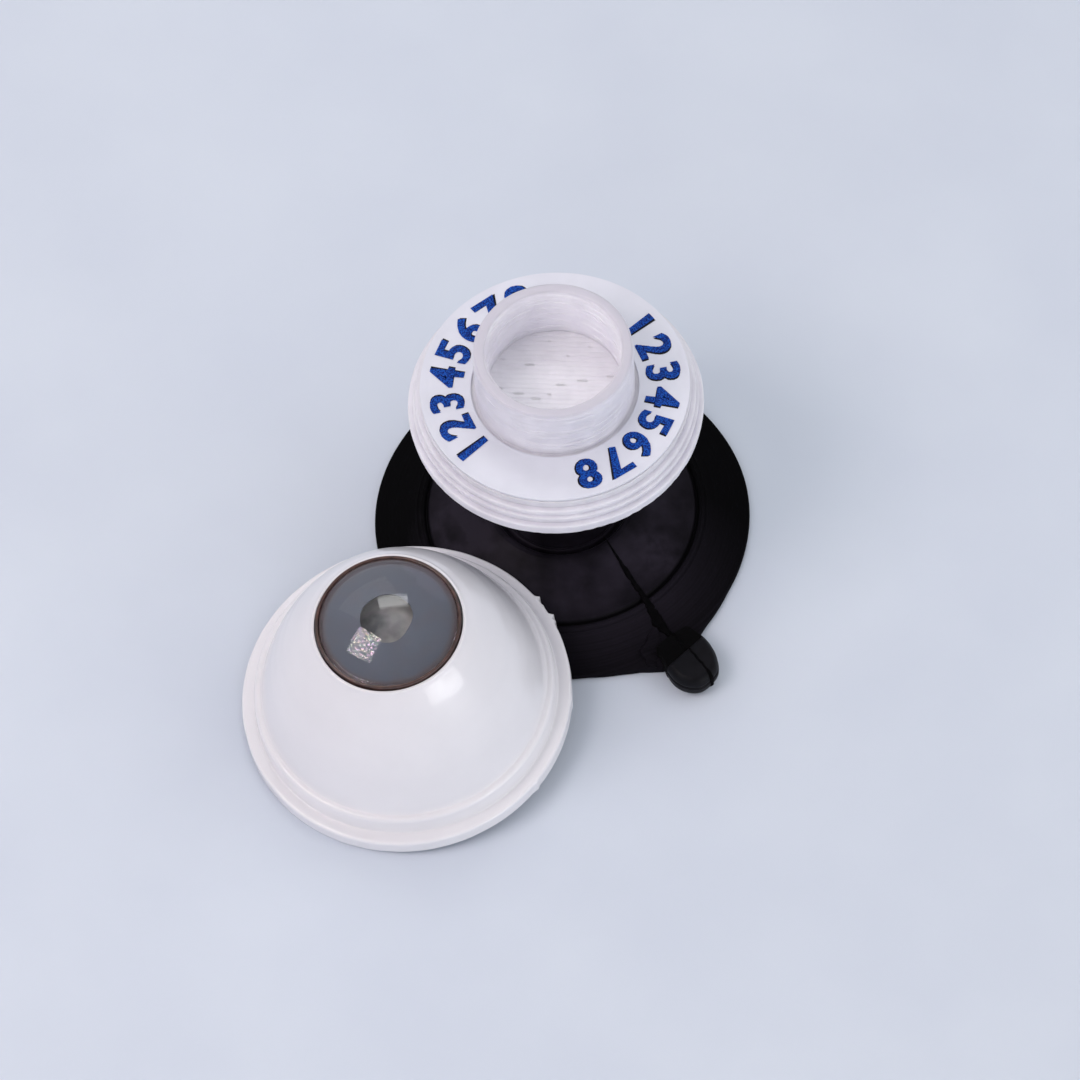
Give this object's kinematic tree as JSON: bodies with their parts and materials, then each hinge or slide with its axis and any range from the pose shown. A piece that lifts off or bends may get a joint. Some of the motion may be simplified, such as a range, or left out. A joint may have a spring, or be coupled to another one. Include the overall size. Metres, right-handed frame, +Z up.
{
  "type": "practice eye model",
  "caption": "Practice eye on a rubber suction cup: printed stand with an open tube and label ring, and a loose white eye shell with rimmed clear cornea, iris and lens, leaning on the cup.",
  "frame": {"origin": "on the table, in the middle of the whole object's footprint, the eye shell and pull tab included", "axes": "+Z up along the suction cup's axis; the eye shell lies towards -X -Y and the pull tab towards +X -Y"},
  "size_m": [0.0438, 0.048, 0.0267],
  "materials": {
    "black_rubber": "satin moulded black rubber",
    "printed_plastic": "white filament print with fine layer lines",
    "label_paper": "coated white paper with blue numerals",
    "gloss_shell": "glossy white formed sheet",
    "brown_rim": "dark copper brown, semi-gloss",
    "clear_cornea": "clear gloss",
    "grey_iris": "blue-grey satin film",
    "lens_plastic": "yellowish grey, satin",
    "cup_plastic": "white moulded plastic"
  },
  "bodies": {
    "cup_skirt": {"suction_skirt": "black_rubber"},
    "cup_crown": {"suction_crown": "black_rubber"},
    "tab": {"pull_tab": "black_rubber"},
    "stand": {"stand_post": "printed_plastic", "tube_stand": "printed_plastic", "label_ring": "label_paper"},
    "eye": {"eye_shell": "gloss_shell", "limbus_ring": "brown_rim", "cornea": "clear_cornea", "iris": "grey_iris", "lens": "lens_plastic", "lens_cup": "cup_plastic"}
  },
  "joints": [
    {"name": "crown_press", "type": "slide", "parent": "cup_skirt", "child": "cup_crown", "axis": [0, 0, 1], "range_m": [-0.0012, 0], "stiffness_N_per_m": 600},
    {"name": "stand_swivel", "type": "hinge", "parent": "cup_crown", "child": "stand", "pos_m": [0.0059, 0.00797, 0.015], "axis": [0, 0, 1], "continuous": true},
    {"name": "tab_lift", "type": "hinge", "parent": "cup_skirt", "child": "tab", "pos_m": [0.01527, -0.00663, 0.002], "axis": [-0.8415, -0.5402, 0], "range_deg": [0, 40], "stiffness_Nm_per_rad": 0.002},
    {"name": "shell_lift", "type": "slide", "parent": "cup_skirt", "child": "eye", "axis": [-0.4314, -0.5602, 0.7071], "range_m": [0, 0.045]}
  ]
}
